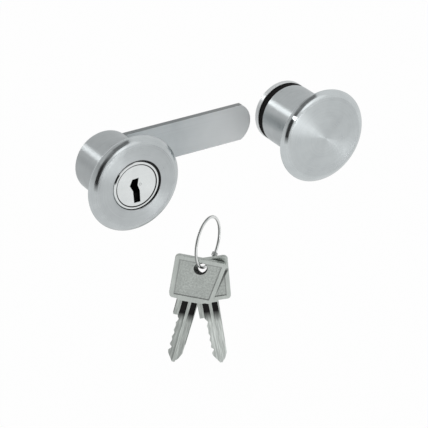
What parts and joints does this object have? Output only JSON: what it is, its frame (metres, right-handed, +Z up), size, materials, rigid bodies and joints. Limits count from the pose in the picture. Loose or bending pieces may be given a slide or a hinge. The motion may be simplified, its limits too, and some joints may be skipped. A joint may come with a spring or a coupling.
{
  "type": "glass door cam lock",
  "caption": "Round cam lock that clamps on a glass cupboard door, with a matching knob for the other door and flat keys on a wire ring.",
  "frame": {"origin": "on the lock's axis, at the rear face of its sleeve, which bears on the glass", "axes": "+X from the lock towards the knob, +Y through the glass away from the user, +Z up"},
  "size_m": [0.1257, 0.0421, 0.1179],
  "materials": {
    "satin_steel": "satin, turned",
    "bright_nickel": "nickel plated, bright",
    "key_nickel": "nickel plated, satin",
    "wafer_brass": "stamped",
    "spring_wire": "drawn wire",
    "zinc_plate": "zinc plated",
    "cam_steel": "satin, flat",
    "black_rubber": "matt",
    "clear_nylon": "matt"
  },
  "bodies": {
    "housing": {"lock_shell": "satin_steel", "barrel": "bright_nickel", "barrel_nut": "zinc_plate", "lock_front_gasket": "black_rubber", "knob_shell": "satin_steel", "knob_front_gasket": "black_rubber", "key_ring": "spring_wire", "ring_clasp": "spring_wire"},
    "plug_core": {"plug": "bright_nickel", "wafer_springs": "spring_wire", "retaining_clip": "spring_wire"},
    "wafer_1": {"wafer_1": "wafer_brass"},
    "wafer_2": {"wafer_2": "wafer_brass"},
    "wafer_3": {"wafer_3": "wafer_brass"},
    "wafer_4": {"wafer_4": "wafer_brass"},
    "wafer_5": {"wafer_5": "wafer_brass"},
    "lock_clamp": {"clamp_bush": "zinc_plate", "lock_rear_gasket": "black_rubber"},
    "cam_set": {"cam": "cam_steel", "slide_washer": "clear_nylon", "tooth_washer": "zinc_plate", "cam_nut": "zinc_plate"},
    "knob_clamp": {"knob_rear_ring": "satin_steel", "knob_rear_gasket": "black_rubber", "knob_screw": "zinc_plate"},
    "key_1": {"key_1": "key_nickel"},
    "key_2": {"key_2": "key_nickel"}
  },
  "joints": [
    {"name": "plug_turn", "type": "hinge", "parent": "housing", "child": "plug_core", "pos_m": [0, 0, 0], "axis": [0, 1, 0], "range_deg": [0, 90]},
    {"name": "lock_clamp_slide", "type": "slide", "parent": "housing", "child": "lock_clamp", "axis": [0, 1, 0], "range_m": [0, 0.005]},
    {"name": "cam_shift", "type": "slide", "parent": "plug_core", "child": "cam_set", "axis": [0, 1, 0], "range_m": [0, 0.005]},
    {"name": "knob_clamp_slide", "type": "slide", "parent": "housing", "child": "knob_clamp", "axis": [0, 1, 0], "range_m": [0, 0.005]},
    {"name": "key_1_swing", "type": "hinge", "parent": "housing", "child": "key_1", "pos_m": [0.03495, -0.01534, -0.05086], "axis": [-0.4695, -0.8829, 0], "range_deg": [-20, 15]},
    {"name": "key_2_swing", "type": "hinge", "parent": "housing", "child": "key_2", "pos_m": [0.03787, -0.01355, -0.05258], "axis": [-0.5299, -0.848, 0], "range_deg": [-20, 20]},
    {"name": "wafer_1_slide", "type": "slide", "parent": "plug_core", "child": "wafer_1", "axis": [0, 0, 1], "range_m": [-0.0008, 0.0008], "stiffness_N_per_m": 100, "springref_m": 0.00004, "deforming": ["wafer_springs"]},
    {"name": "wafer_2_slide", "type": "slide", "parent": "plug_core", "child": "wafer_2", "axis": [0, 0, 1], "range_m": [-0.0008, 0.0008], "stiffness_N_per_m": 100, "springref_m": 0.00004},
    {"name": "wafer_3_slide", "type": "slide", "parent": "plug_core", "child": "wafer_3", "axis": [0, 0, 1], "range_m": [-0.0008, 0.0008], "stiffness_N_per_m": 100, "springref_m": 0.00004},
    {"name": "wafer_4_slide", "type": "slide", "parent": "plug_core", "child": "wafer_4", "axis": [0, 0, 1], "range_m": [-0.0008, 0.0008], "stiffness_N_per_m": 100, "springref_m": 0.00004},
    {"name": "wafer_5_slide", "type": "slide", "parent": "plug_core", "child": "wafer_5", "axis": [0, 0, 1], "range_m": [-0.0008, 0.0008], "stiffness_N_per_m": 100, "springref_m": 0.00004}
  ],
  "couplings": [
    {"joint": "cam_shift", "follows": "lock_clamp_slide", "ratio": 1}
  ]
}
